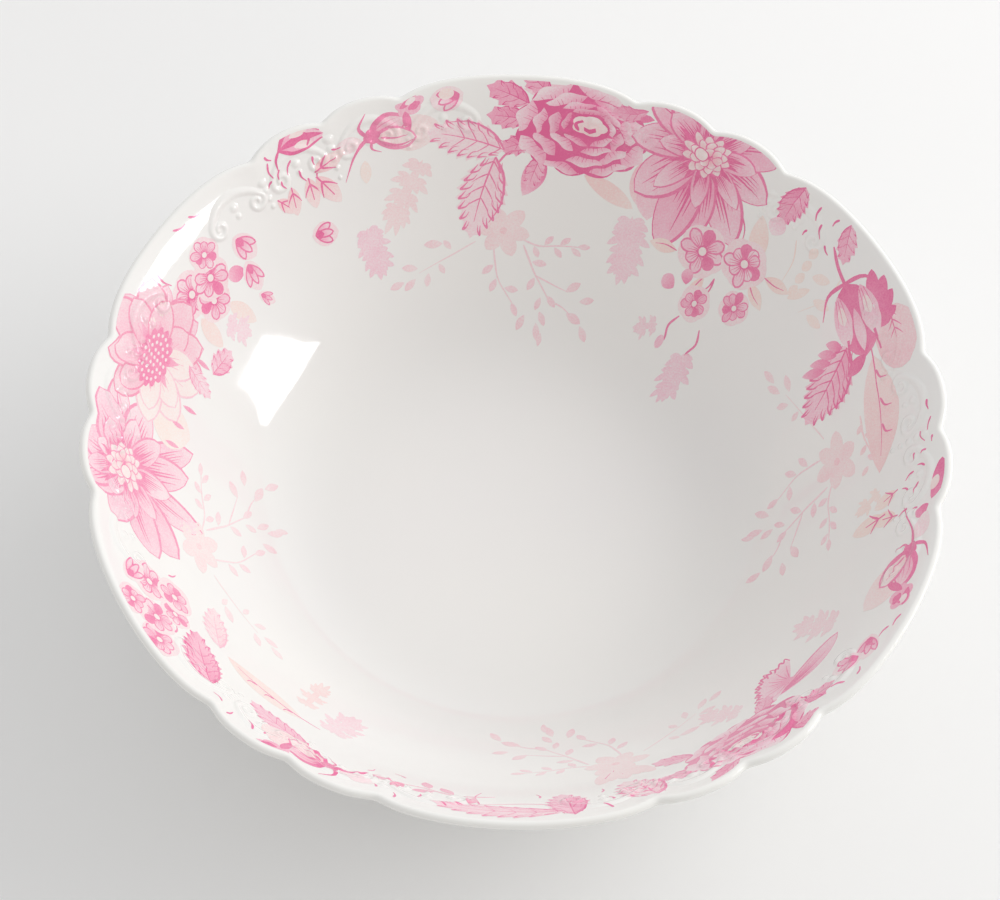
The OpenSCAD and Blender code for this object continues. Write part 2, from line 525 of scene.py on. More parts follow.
# ------------------------------------------------------- the printed pattern
# A sheet is one patch of the pattern. Its x runs clockwise round the bowl and
# its y down the wall from the rim, both in millimetres, as seen from inside.
WREATH_R = 145.0
SPRIG_R = 112.0
EDGE_GAP = 0.5
INK_LIFT = 0.05
SINK = 0.15


def encloses(outline, points):
    """Which points lie inside an outline, by its winding round them."""
    a = outline[:, None]
    b = np.roll(outline, -1, axis=0)[:, None]
    side = (b - a)[..., 0] * (points[:, 1] - a[..., 1]) - (b - a)[..., 1] * (points[:, 0] - a[..., 0])
    up = (a[..., 1] <= points[:, 1]) & (b[..., 1] > points[:, 1]) & (side > 0)
    down = (a[..., 1] > points[:, 1]) & (b[..., 1] <= points[:, 1]) & (side < 0)
    return up.sum(axis=0) != down.sum(axis=0)


class Sheet:
    """Flat shapes laid one over another, then cut into one thin skin."""

    def __init__(self, name, phi, radius, lift=0.0, ink=1.0):
        self.name = name
        self.phi = phi
        self.ink = ink
        self.per_degree = math.radians(1) * radius
        self.lift = INK_LIFT + lift
        self.outlines = []
        self.inks = []
        self.pen = Pen(self, np.eye(2), np.zeros(2))

    def spot(self, phi, s):
        """The place on the sheet of an angle round the bowl and a drop from
        the rim."""
        return (self.phi - phi) * self.per_degree, s

    def at(self, phi, s, turn=0.0, size=1.0, tall=None):
        return self.pen.at(*self.spot(phi, s), turn, size, tall)

    def build(self, material):
        outlines = self.outlines + [np.array([[-300.0, -80], [300, -80], [300, EDGE_GAP], [-300, EDGE_GAP]])]
        inks = np.array(self.inks + [(-1, -1, 0, 0, 0, 0, 1)])
        verts, edges = [], []
        for outline in outlines:
            ring = self.divide(outline)
            count = len(verts)
            edges.extend((count + k, count + (k + 1) % len(ring)) for k in range(len(ring)))
            verts.extend(Vector(p) for p in ring)
        verts.extend(Vector(p) for p in self.filling())
        points, _, triangles, _, _, _ = delaunay_2d_cdt(verts, edges, [], 0, 1e-4, False)
        points = np.array([tuple(p) for p in points])
        triangles = np.array(triangles)
        middles = points[triangles].mean(axis=1)
        top = np.full(len(triangles), -1)
        for number, outline in enumerate(outlines):
            near = ((middles >= outline.min(axis=0)) & (middles <= outline.max(axis=0))).all(axis=1)
            near = np.flatnonzero(near)
            top[near[encloses(outline, middles[near])]] = number
        keep = (top >= 0) & (inks[top, 0] >= 0)
        triangles = triangles[keep][:, ::-1]
        used, index = np.unique(triangles, return_inverse=True)
        index = index.reshape(triangles.shape)
        place = points[used]
        ink = inks[top[keep]]
        corner = place[index]
        start, run = ink[:, None, 3:5], ink[:, None, 5:7]
        part = np.clip(((corner - start) * run).sum(-1) / np.maximum((run ** 2).sum(-1), 1e-9), 0, 1)
        tone = ink[:, None, 0] + (ink[:, None, 1] - ink[:, None, 0]) * part
        colour = np.zeros((*tone.shape, 4))
        colour[..., 0] = tone
        colour[..., 1] = ink[:, None, 2]
        colour[..., 3] = 1
        phi = self.phi - place[:, 0] / self.per_degree
        s = place[:, 1]
        piece = closed_patch(self.name, phi, s, [tuple(int(v) for v in f) for f in index],
                             relief(phi, s) + self.lift, np.full(len(phi), -SINK), material,
                             colour.reshape(-1, 4))

    def divide(self, outline):
        """Adds points to long edges, closer where the relief stands."""
        ends = np.roll(outline, -1, axis=0)
        length = np.hypot(*(ends - outline).T)
        middle = (outline + ends) / 2
        raised = relief(self.phi - middle[:, 0] / self.per_degree, middle[:, 1]) > 0
        parts = np.ceil(length / np.where(raised, 0.6, 3.0)).astype(int).clip(1, 400)
        return np.vstack([a + (b - a) * (np.arange(n) / n)[:, None]
                          for a, b, n in zip(outline, ends, parts)])

    def filling(self):
        """Loose points that let the skin follow the wall and its relief."""
        every = np.vstack(self.outlines)
        low, high = every.min(axis=0), every.max(axis=0)
        low[1] = max(low[1], 0)
        found = []
        for step, raised in ((2.4, False), (0.6, True)):
            x, y = np.meshgrid(np.arange(low[0], high[0], step), np.arange(low[1], high[1], step))
            x = x + step / 2 * (np.arange(len(x)) % 2)[:, None]
            points = np.stack([x.ravel(), y.ravel()], axis=-1)
            tall = relief(self.phi - points[:, 0] / self.per_degree, points[:, 1]) > 0
            found.append(points[tall == raised])
        return np.vstack(found)


class Pen:
    """Draws on a sheet from its own origin, turned and scaled."""

    def __init__(self, sheet, matrix, origin):
        self.sheet = sheet
        self.matrix = matrix
        self.origin = origin

    def at(self, x, y, turn=0.0, size=1.0, tall=None):
        """A new pen at x, y. turn is in degrees, clockwise as seen; tall
        scales y apart from x, and below zero mirrors."""
        a = math.radians(turn)
        spin = np.array([[math.cos(a), -math.sin(a)], [math.sin(a), math.cos(a)]])
        scale = np.diag([size, size if tall is None else tall])
        return Pen(self.sheet, self.matrix @ spin @ scale, self.origin + self.matrix @ np.array([x, y]))

    def shape(self, outline, tone, warm=0.0, span=None):
        """tone is one value from 0 (white) to 1 (darkest), or a pair that
        fades over the span x0, y0, x1, y1. warm goes from pink to peach."""
        pair = [t * self.sheet.ink for t in (tone if isinstance(tone, tuple) else (tone, tone))]
        x0, y0, x1, y1 = span or (0, 0, 1, 0)
        a = self.origin + self.matrix @ np.array([x0, y0])
        b = self.origin + self.matrix @ np.array([x1, y1])
        self.sheet.outlines.append(np.asarray(outline) @ self.matrix.T + self.origin)
        self.sheet.inks.append((*pair, warm, *a, *(b - a)))

    def petal(self, length, width, tone, warm, fat, tip, base=0.0):
        """A petal along x. fat over 1 puts its widest part nearer the tip,
        and tip over 1 sharpens both ends."""
        t = np.linspace(0, 1, 9 if length < 6 else 13)
        half = width / 2 * np.sin(math.pi * t ** fat).clip(0) ** tip
        x = base + (length - base) * t
        outline = np.vstack([np.stack([x, -half], 1)[:-1], np.stack([x, half], 1)[:0:-1]])
        self.shape(outline, tone, warm, (base, 0, length, 0))

    def stroke(self, points, width, tone=0.9, warm=0.0, end=0.25):
        """A brush line through the points, thinning to its end."""
        line = curve(points)
        step = np.gradient(line, axis=0)
        step /= np.linalg.norm(step, axis=1)[:, None] + 1e-9
        side = np.stack([-step[:, 1], step[:, 0]], axis=-1)
        t = np.linspace(0, 1, len(line))[:, None]
        half = width / 2 * (1 + (end - 1) * t) * np.minimum(1, 0.45 + 3 * t)
        self.shape(np.vstack([line + side * half, (line - side * half)[::-1]]), tone, warm)

    def blob(self, rx, ry, tone, warm=0.0, waves=0, depth=0.0, span=None):
        """A round patch, or one with that many rounded lobes."""
        count = max(14, 6 * waves)
        a = np.arange(count) * 2 * math.pi / count
        r = 1 - depth + depth * np.abs(np.cos(a * waves / 2)) if waves else 1
        self.shape(np.stack([rx * r * np.cos(a), ry * r * np.sin(a)], 1), tone, warm, span)



def curve(points):
    """A smooth line through a few points."""
    p = np.array(points, dtype=float)
    if len(p) == 2:
        return p
    ends = np.vstack([2 * p[0] - p[1], p, 2 * p[-1] - p[-2]])
    t = np.linspace(0, 1, 5)[:-1, None]
    line = []
    for a, b, c, d in zip(ends, ends[1:], ends[2:], ends[3:]):
        line.append(b + (c - a) * t / 2 + (2 * a - 5 * b + 4 * c - d) * t * t / 2
                    + (3 * b - a - 3 * c + d) * t ** 3 / 2)
    return np.vstack(line + [p[-1:]])


# ------------------------------------------------------------ its small parts
def veins(pen, length, width, count, thick, tone=0.85, start=0.15):
    """A midrib along x with side veins."""
    pen.stroke([(0, 0), (length * 0.5, width * 0.02), (length * 0.94, 0)], thick * 1.3, tone, 0, 0.3)
    for k in range(count):
        x = length * (start + 0.72 * k / count)
        reach = width * 0.38 * math.sin(math.pi * (0.2 + 0.6 * k / count))
        for side in (-1, 1):
            pen.stroke([(x, 0), (x + reach * 0.55, side * reach * 0.62), (x + reach, side * reach)],
                       thick, tone, 0, 0.2)


def leaf_half(width, t):
    """Half the width of a leaf at part t of its length."""
    return width / 2 * np.sin(math.pi * t ** 0.85).clip(0) ** 0.8


def toothed(length, width, teeth):
    """Outline of a leaf along x with teeth that point to its tip."""
    t = np.linspace(0, 1, teeth * 2 + 1)
    half = leaf_half(width, t)
    tooth = np.arange(len(t)) % 2 == 0
    cut = np.where(tooth, 1.05, 0.8)
    x = length * (t + np.where(tooth, 0.35, 0) / teeth * (t < 0.99) * (t > 0))
    upper = np.stack([x, -half * cut], 1)
    lower = np.stack([x, half * cut], 1)
    return np.vstack([upper[:-1], lower[:0:-1]])


def serrated_leaf(pen, length, width, teeth, tone, dark, warm=0.0, shade=1):
    """A toothed leaf: a soft ground, one side a little darker, dark marks at
    the teeth and fine veins. shade picks the darker side."""
    pen.shape(toothed(length, width, teeth), (tone * 0.85, tone), warm, (0, 0, length, 0))
    half = toothed(length, width * 0.98, teeth)
    half = half[half[:, 1] * shade >= 0]
    pen.shape(half, (tone * 1.35, tone * 0.9), warm, (0, 0, length * 0.9, 0))
    for k in range(teeth - 1):
        t = (k + 0.8) / teeth
        edge = leaf_half(width, t)
        for side in (-1, 1):
            for deep, thick in ((0.45, 0.045), (0.68, 0.06)):
                pen.stroke([(length * (t + 0.07), side * edge * 0.9),
                            (length * (t + 0.02), side * edge * (deep + 0.12)),
                            (length * (t - 0.05), side * edge * deep)], thick * width, dark, 0, 0.15)
    pen.stroke([(0, 0), (length * 0.2, shade * width * 0.3), (length * 0.5, shade * width * 0.42),
                (length * 0.75, shade * width * 0.3)], 0.075 * width, dark, 0, 0.2)
    veins(pen, length * 0.85, width * 0.8, max(3, teeth // 2), 0.035 * width, dark, 0.06)


def maple(pen, length, width, tone, warm, lobes):
    """A pale leaf of ragged lobes in a single flat tint."""
    for k in range(lobes):
        t = (k + 0.3) / lobes
        reach = width * (0.42 + 0.2 * math.sin(math.pi * t))
        for side in (-1, 1):
            lobe = pen.at(length * t * 0.78, 0, side * (66 - 22 * t + 7 * (k % 2)))
            for turn, size in ((-27, 0.68), (-4, 1.0), (22, 0.74)):
                lobe.at(0, 0, turn).petal(reach * size, width * 0.17, tone, warm, 1.25, 0.75)
    for turn, size in ((-34, 0.7), (-13, 0.92), (9, 1.0), (31, 0.72)):
        pen.at(length * 0.62, 0, turn).petal(length * 0.4 * size, width * 0.2, tone, warm, 1.2, 0.75)
    pen.petal(length * 0.86, width * 0.26, tone, warm, 0.9, 0.7)


def barbed_leaf(pen, length, width, tone, warm):
    """A long soft leaf with a dark midrib and little barbs."""
    pen.petal(length, width, (tone * 0.8, tone * 1.2), warm, 0.9, 0.8)
    pen.stroke([(-0.2 * length, 0), (0.4 * length, 0.04 * width), (0.85 * length, 0)], 0.9, 0.85, 0, 0.3)
    for x in (0.12, 0.36, 0.58):
        barb = [(x * length, 0), ((x + 0.07) * length, -0.1 * width), ((x + 0.08) * length, -0.3 * width)]
        pen.stroke(barb, 1.5, 0.85, 0, 0.2)


def bud(pen, length, width, tone=0.36):
    """A closed bud along x: three dark-edged petals from a dark cup."""
    pen.at(-0.15 * length, 0).petal(length * 1.3, width * 1.35, 0.2, 0.15, 1.0, 0.6)
    for turn in (-27, 24, -2):
        one = pen.at(0, 0, turn)
        one.petal(length * 0.92, width * 0.5, 0.86, 0, 1.2, 0.6)
        one.petal(length * 0.84, width * 0.32, (0.7, tone * 0.6), 0, 1.2, 0.6, length * 0.06)
    pen.petal(length * 0.45, width * 0.5, 0.92, 0, 0.9, 0.9)


def star(pen, r, petals, tone, warm):
    """A pale open flower in one tint, with a darker eye."""
    for k in range(petals):
        one = pen.at(0, 0, 360 / petals * k + 12)
        one.petal(r * (1 + 0.1 * (k % 2)), r * 0.62, (tone * 0.85, tone), warm, 1.15, 0.6)
    pen.blob(r * 0.14, r * 0.14, tone * 1.5, 0.4)


def daisy(pen, r, petals, seed, pale):
    """A small flower on a soft halo: pale petals with dark outlines, streaks
    and a ringed eye. Two petals are dark."""
    rng = np.random.default_rng(seed)
    pen.blob(r * 1.16, r * 1.12, 0.22, 0.2, 5, 0.09)
    pen.blob(r * 0.6, r * 0.6, 0.55, 0, petals, 0.18)
    dark = int(rng.integers(petals))
    for k in range(petals):
        one = pen.at(0, 0, 360 / petals * k + rng.uniform(-12, 12))
        reach = r * rng.uniform(0.78, 1.12)
        one.petal(reach, r * 0.6, 0.82, 0, 1.35, 0.55, r * 0.18)
        fill = (0.95, 0.8) if (k - dark) % petals in (0, 3) else (0.4, pale * rng.uniform(0.5, 1.0))
        one.petal(reach * 0.93, r * 0.44, fill, 0, 1.35, 0.55, r * 0.2)
        for side in (-0.6, 0.05, 0.7):
            one.stroke([(r * 0.22, side * r * 0.08), (r * rng.uniform(0.5, 0.8), side * r * 0.22)],
                       r * 0.1, 0.92, 0, 0.15)
    pen.blob(r * 0.27, r * 0.27, 0.95, 0, 7, 0.2)
    pen.blob(r * 0.18, r * 0.18, 0.14, 0.5)


def wavy_arc(r, a0, a1, waves, depth, phase):
    """Points of a rippled arc, and how far along it each one is."""
    a = np.linspace(a0, a1, 15)
    k = (a - a0) / (a1 - a0)
    reach = r * (1 + depth * np.cos(2 * math.pi * (waves * k + phase)))
    return np.stack([reach * np.cos(np.radians(a)), reach * np.sin(np.radians(a))], 1), k


def rolled_petal(pen, r_in, r_out, middle, half, seed, pale):
    """One rose petal seen from above: a pale rolled lip round a dark hollow."""
    rng = np.random.default_rng(seed)
    phase = rng.uniform(0, 1)
    outer, k = wavy_arc(r_out, middle - half, middle + half, 1.5, 0.035, phase)
    hollow, _ = wavy_arc(1, middle - half, middle + half, 1.3, 0.04, phase + 0.3)
    round_end = np.sin(math.pi * k.clip(0.01, 0.99)) ** 0.4
    dip = r_out - (r_out - r_in) * round_end
    bulge = 1 + 0.05 * (round_end - 1)
    a, b = math.cos(math.radians(middle)), math.sin(math.radians(middle))
    outline = np.vstack([outer * bulge[:, None], (hollow * dip[:, None])[::-1]])
    pen.shape(outline, (pale + 0.18, pale * 0.7), 0, (a * r_in, b * r_in, a * r_out, b * r_out))
    for turn in np.linspace(-0.66, 0.66, 5) + rng.uniform(-0.1, 0.1, 5):
        t = math.radians(middle + turn * half)
        lean = math.radians(middle + (turn + 0.12) * half)
        far = r_in + (r_out - r_in) * rng.uniform(0.35, 0.7)
        pen.stroke([(r_in * math.cos(t), r_in * math.sin(t)), (far * math.cos(lean), far * math.sin(lean))],
                   0.026, 0.9, 0, 0.2)


def rose(pen, seed, turn):
    """A full-blown rose of radius 1: rings of rolled petals round a pale bud."""
    rng = np.random.default_rng(seed)
    pen.blob(1, 1, (0.95, 0.8), 0, 11, 0.1, (-1, 0, 1, 0))
    rings = ((8, 0.765, 0.965, 0.26), (7, 0.57, 0.755, 0.3), (6, 0.405, 0.56, 0.34), (5, 0.29, 0.4, 0.38))
    for level, (count, r_in, r_out, pale) in enumerate(rings):
        ring = pen.at(0.03 * level, -0.035 * level)
        for k in range(count):
            middle = turn + 360 / count * (k + 0.5 * (level % 2)) + rng.uniform(-7, 7)
            half = 180 / count * rng.uniform(0.86, 0.97)
            lip = r_out * rng.uniform(0.95, 1.03)
            rolled_petal(ring, r_in * rng.uniform(0.94, 1.02), lip, middle, half, seed * 97 + level * 11 + k,
                         pale * rng.uniform(0.7, 1.35))
    heart = pen.at(0.1, -0.13)
    heart.blob(0.31, 0.27, 0.95)
    heart.at(0, -0.02).blob(0.27, 0.22, (0.3, 0.12), 0.5, 5, 0.16, (0, 0.2, 0, -0.2))
    heart.stroke([(-0.15, 0.12), (-0.2, -0.02), (-0.1, -0.1)], 0.06, 0.9, 0, 0.8)
    heart.shape([(-0.08, 0.02), (0, 0.05), (0.09, 0.0), (0.11, 0.08), (0.02, 0.15), (-0.07, 0.1)], 0.95)


def long_petal(pen, length, width, seed, dark, pale):
    """A broad petal that is dark at its base, with streaks that run out."""
    rng = np.random.default_rng(seed)
    lean = rng.uniform(-0.06, 0.06) * length
    pen.petal(length, width * 1.12, 0.8, 0, 1.25, 0.62)
    pen.at(0, 0.03 * width).petal(length * 0.98, width, (dark, pale), 0, 1.25, 0.62)
    pen.petal(length * 0.48, width * 0.4, (0.95, dark * 0.85), 0, 0.8, 1.0)
    for side in (-0.85, -0.6, -0.32, -0.06, 0.2, 0.46, 0.7, 0.9):
        end = length * rng.uniform(0.55, 0.95) * (1 - 0.25 * abs(side))
        pen.stroke([(length * 0.12, side * width * 0.05), (end * 0.55, side * width * 0.32 + lean * 0.1),
                    (end, side * width * 0.37 + lean * 0.2)], width * 0.14, 0.93, 0, 0.06)


def dahlia(pen, r, seed, count):
    """A large flower of radius r: petals that are longest below, and a pale
    tufted heart on a dark star."""
    rng = np.random.default_rng(seed)
    pen.blob(r * 0.55, r * 0.5, 0.85)
    for ring, (number, reach, wide) in enumerate(((count, 1.0, 0.44), (count - 3, 0.66, 0.26))):
        for k in range(number):
            turn = 360 / number * (k + 0.5 * ring) + rng.uniform(-9, 9)
            drop = 1 + 0.26 * math.sin(math.radians(turn)) * (1 - 0.4 * ring)
            size = reach * r * rng.uniform(0.8, 1.08) * drop
            breadth = wide * r * rng.uniform(0.8, 1.15)
            long_petal(pen.at(0, 0, turn), size, breadth, seed * 31 + ring * 17 + k,
                       0.62 + 0.08 * ring, 0.26 + 0.08 * rng.uniform(-1, 1.5))
    for k in range(18):
        one = pen.at(0, 0, 20 * k + rng.uniform(-5, 5))
        one.petal(r * rng.uniform(0.34, 0.48), r * 0.07, 0.9, 0, 0.8, 0.9)
    for ring, (number, reach) in enumerate(((10, 0.29), (9, 0.22), (6, 0.14))):
        for k in range(number):
            one = pen.at(r * 0.03 * ring, 0, 360 / number * (k + 0.5 * ring) + rng.uniform(-6, 6))
            one.petal(reach * r * 1.04, r * 0.135, 0.82, 0, 1.3, 0.6, reach * r * 0.15)
            one.petal(reach * r, r * 0.1, (0.6, 0.1 + 0.1 * rng.uniform()), 0.4, 1.3, 0.6, reach * r * 0.2)
    pen.at(-r * 0.05, r * 0.01).blob(r * 0.09, r * 0.09, 0.9)
    pen.at(-r * 0.05, r * 0.01).blob(r * 0.075, r * 0.075, 0.16, 0.5)


def zinnia(pen, r, seed):
    """Broad cream petals round a dark disc full of pale dots."""
    rng = np.random.default_rng(seed)
    for ring, (count, reach) in enumerate(((9, 1.0), (8, 0.78))):
        for k in range(count):
            one = pen.at(0, 0, 360 / count * (k + 0.5 * ring) + rng.uniform(-6, 6))
            size = r * reach * rng.uniform(0.9, 1.08)
            way = math.radians(360 / count * (k + 0.5 * ring))
            rosy = math.sin(way) < -0.3 or math.cos(way) > 0.75
            fill, warm = ((0.7, 0.34), 0.1) if rosy else ((0.26, 0.14), 0.65)
            one.petal(size, size * 0.57, 0.85 if rosy else 0.45, 0.1, 1.25, 0.6)
            one.petal(size * 0.975, size * 0.5, fill, warm, 1.25, 0.6)
            for side in (-0.5, -0.1, 0.4):
                end = (size * rng.uniform(0.5, 0.72), side * size * 0.2)
                one.stroke([(size * 0.3, side * size * 0.14), end], size * 0.035, 0.75, 0, 0.15)
            one.petal(size * 0.6, size * 0.2, (0.92, 0.6), 0, 0.8, 1.0)
    pen.blob(r * 0.47, r * 0.3, 0.88, 0, 15, 0.16)
    for ring, number in enumerate((1, 6, 12, 18)):
        for k in range(number):
            a = 2 * math.pi * (k + 0.5 * ring) / number
            one = pen.at(r * 0.115 * ring * math.cos(a), r * 0.07 * ring * math.sin(a))
            one.blob(r * 0.028, r * 0.021, 0.2, 0.2)


def carnation(pen, r, petals):
    """A ragged fan of petals over a small cup, opening along x."""
    rng = np.random.default_rng(3)
    for k in range(petals):
        turn = -68 + 136 * k / (petals - 1)
        one = pen.at(0, 0, turn + rng.uniform(-3, 3))
        reach = r * rng.uniform(0.88, 1.05)
        wide = r * 0.17
        one.shape([(0, 0), (reach * 0.85, -wide), (reach * 0.93, -wide * 0.4), (reach * 0.88, -wide * 0.1),
                   (reach, wide * 0.2), (reach * 0.9, wide * 0.5), (reach * 0.86, wide)], (0.5, 0.24), 0,
                  (0, 0, reach, 0))
        one.stroke([(reach * 0.1, 0), (reach * 0.45, 0), (reach * 0.7, wide * 0.2)], r * 0.045, 0.8, 0, 0.3)
        one.stroke([(reach * 0.8, -wide), (reach * 0.97, -wide * 0.5), (reach * 0.88, 0),
                    (reach * 1.02, wide * 0.4), (reach * 0.84, wide)], r * 0.08, 0.9, 0, 0.4)
    pen.petal(r * 0.3, r * 0.22, 0.6, 0, 0.8, 0.6, -r * 0.14)


def bell(pen, length, width):
    """A hanging half-open flower along x: dark folds with pale petals."""
    pen.petal(length, width * 0.9, (0.92, 0.75), 0, 1.0, 0.62)
    for side, turn in ((-0.25, -5), (0.23, 6)):
        one = pen.at(length * 0.1, side * width, turn)
        one.petal(length * 0.7, width * 0.36, (0.5, 0.2), 0, 1.1, 0.65)
        one.petal(length * 0.4, width * 0.18, (0.3, 0.1), 0.5, 1.1, 0.7, length * 0.14)
        for lean in (-0.1, 0.02, 0.12):
            fold = [(length * 0.05, lean * width * 0.4), (length * 0.4, lean * width)]
            one.stroke(fold, width * 0.04, 0.85, 0, 0.1)
    mid = pen.at(length * 0.34, 0)
    mid.petal(length * 0.66, width * 0.32, 0.85, 0, 1.1, 0.8)
    mid.petal(length * 0.58, width * 0.22, (0.45, 0.22), 0, 1.1, 0.8)
    for side in (-1, 1):
        pen.stroke([(0, 0), (length * 0.04, side * width * 0.4), (length * 0.3, side * width * 0.66)],
                   width * 0.09, 0.88, 0, 0.15)
        mouth = [(length * 0.7, side * width * 0.28), (length * 0.98, side * width * 0.34)]
        pen.stroke(mouth, width * 0.12, 0.88, 0, 0.3)
    stalk = [(-length * 0.48, -width * 0.1), (-length * 0.2, 0), (length * 0.2, 0)]
    pen.stroke(stalk, width * 0.055, 0.88, 0, 1.2)


def twig(pen, points, leaves, width, tone, size, warm=0.2):
    """A stem through the points with small leaves: along it, side, turn."""
    pen.stroke(points, width, tone, warm, 0.5)
    line = curve(points)
    last = len(line) - 1
    for part, side, turn in leaves:
        k = int(part * last)
        x, y = line[k]
        ahead = line[min(k + 1, last)] - line[max(k - 1, 0)]
        way = math.degrees(math.atan2(ahead[1], ahead[0])) + side * turn
        inks = (tone * 0.9, tone * 1.15)
        pen.at(x, y, way).petal(size * 1.2, size * 0.5, inks, warm, 1.1, 0.8, size * 0.15)


# --------------------------------------------------------- the wreath's plan
def spread(sheet, motif, *rows):
    """Draws a motif once for each row: the angle round the bowl, the drop
    from the rim and the turn, then the motif's own sizes and inks."""
    for phi, s, turn, *rest in rows:
        motif(sheet.at(phi, s, turn), *rest)


def dash(pen, length):
    """A loose brush mark, bowed a little."""
    pen.stroke([(-length / 2, 0), (0, 0.12 * length), (length / 2, 0)], 1.15, 0.85, 0, 0.35)


def first_rose(sheet):
    spread(sheet, Pen.petal, (92, 4, 4, 44, 8, (0.25, 0.4), 0.1, 1, 0.5),
           (82, 5, 4, 26, 6, 0.72, 0, 1, 0.5))
    for phi, s, turn, length in ((91, 17, 188, 17), (91, 10, 205, 18), (90, 26, 165, 15), (88, 6, 225, 15)):
        serrated_leaf(sheet.at(phi, s, turn), length, 0.62 * length, 4, 0.5, 0.92)
    sheet.at(88, 33, 118).petal(19, 10, (0.85, 0.3), 0, 0.9, 0.8)
    serrated_leaf(sheet.at(88.6, 32, 110), 16, 9, 5, 0.4, 0.85)
    sheet.at(81, 38, 20).petal(26, 8, (0.35, 0.2), 0.7, 1, 0.7)
    rose(sheet.at(82.5, 19.5, 0, 27.5, 20), 4, 12)


def first_dahlia(sheet):
    spread(sheet, Pen.petal, (72, 26, 60, 24, 17, (0.4, 0.22), 0.35, 1, 0.7),
           (70, 33, 75, 17, 11, (0.45, 0.25), 0.1, 1, 0.8))
    serrated_leaf(sheet.at(73, 3, 160), 15, 8, 5, 0.55, 0.85)
    dahlia(sheet.at(62.5, 12, 8), 35, 6, 11)


def small_daisies(sheet):
    sheet.at(50, 22, 70).petal(24, 9, (0.25, 0.35), 0.8, 1, 0.8)
    sheet.at(53, 28, 60).stroke([(0, 0), (6, -1), (13, 1)], 0.9)
    for phi, s, turn in ((61, 56, 175), (46, 50, 25), (47, 58, 55), (54, 60, 100), (44, 44, -10)):
        sheet.at(phi, s, turn).petal(14, 6, (0.4, 0.25), 0.8, 1, 0.9)
        sheet.at(phi, s, turn).stroke([(0, 0), (6, 0.8), (11, 0)], 0.8)
    spread(sheet, Pen.stroke, (52, 58, 70, [(0, 0), (5, 1), (11, 4)], 1.2),
           (52, 58, 110, [(0, 0), (5, -1), (10, 1)], 1.0))
    spread(sheet, daisy, (56.5, 51, 0, 10.5, 8, 2, 0.5), (48.5, 45, 0, 10, 9, 5, 0.35),
           (53, 72, 0, 7.5, 7, 8, 0.6), (45.5, 63, 0, 7, 8, 9, 0.6))
    spread(sheet, Pen.petal, (58.5, 71, 200, 8, 7, (0.7, 0.35), 0, 1.2, 0.6),
           (56.5, 67, 250, 7, 6, (0.8, 0.4), 0, 1.2, 0.6))
    for phi, bend in ((54.5, -3), (49, 3)):
        hook = sheet.at(phi, 80)
        hook.stroke([(0, 0), (bend, 6), (bend * 0.4, 12), (bend * 1.4, 16)], 1.3, 0.85, 0, 0.8)
        hook.at(bend, 14).blob(2.4, 3.2, 0.4)
    spread(sheet, maple, (58, 88, 150, 14, 11, 0.26, 0.1, 2), (49, 92, 72, 24, 20, 0.3, 0, 3),
           (71, 50, 82, 30, 20, 0.26, 0.05, 4))


def leaf_and_dashes(sheet):
    serrated_leaf(sheet.at(46.5, 1, 92), 20, 12, 7, 0.5, 0.85)
    sheet.at(47, 18, 90).petal(9, 8, (0.3, 0.15), 0, 1, 0.7)
    spread(sheet, dash, (42.5, 7, 75, 6), (40.5, 12, 60, 6), (39.5, 5, 100, 4), (37.2, 6, 80, 5),
           (38, 16, 30, 4), (35.8, 12, 95, 4), (42.6, 17, 100, 3))
    serrated_leaf(sheet.at(37.5, 1, 60), 16, 9, 5, 0.4, 0.8)
    for s in (18, 24, 30, 36):
        sheet.at(40 - 0.05 * s, s, 100).petal(6, 4, 0.2, 0.9, 1, 0.7)
    sheet.at(43, 22).stroke([(0, 0), (4, 8), (5, 18)], 0.8, 0.25, 0.9)
    sheet.at(36, 33, 120).petal(12, 4, 0.2, 0.9, 1, 0.7)


def bell_and_leaves(sheet):
    sheet.at(19.5, 10, 5).blob(12.5, 11, (0.3, 0.38), 0.35, 0, 0, (-10, -8, 10, 8))
    veins(sheet.at(24, 8, 10), 13, 9, 3, 0.7)
    barbed_leaf(sheet.at(19.5, 24, 12), 50, 19, 0.32, 0.55)
    for phi, s, turn in ((34, 24, 150), (31, 32, 160), (30, 40, 170)):
        sheet.at(phi, s, turn).petal(9, 4.5, 0.2, 0.85, 1, 0.7)
    sheet.at(33, 18, 95).stroke([(0, 0), (12, -2), (26, 3)], 0.8, 0.2, 0.85)
    serrated_leaf(sheet.at(24, 33, 62), 38, 24, 10, 0.4, 0.9, 0, -1)
    for k in range(4):
        sheet.at(24.3 - 0.3 * k, 36 + 4 * k, 140 - 8 * k).petal(9 + k, 4.5, (0.85, 0.45), 0, 1, 0.8)
    for phi, s, turn in ((30.5, 6, 35), (28.5, 3, 50), (26, 3, 65), (23.5, 5, 85)):
        sheet.at(phi, s, turn).petal(13, 6, (0.92, 0.75), 0, 1, 0.7)
    bell(sheet.at(32, 19, 16), 31, 25)
    sheet.at(20.5, 27, 80).petal(13, 6, (0.92, 0.8), 0, 1, 0.8)


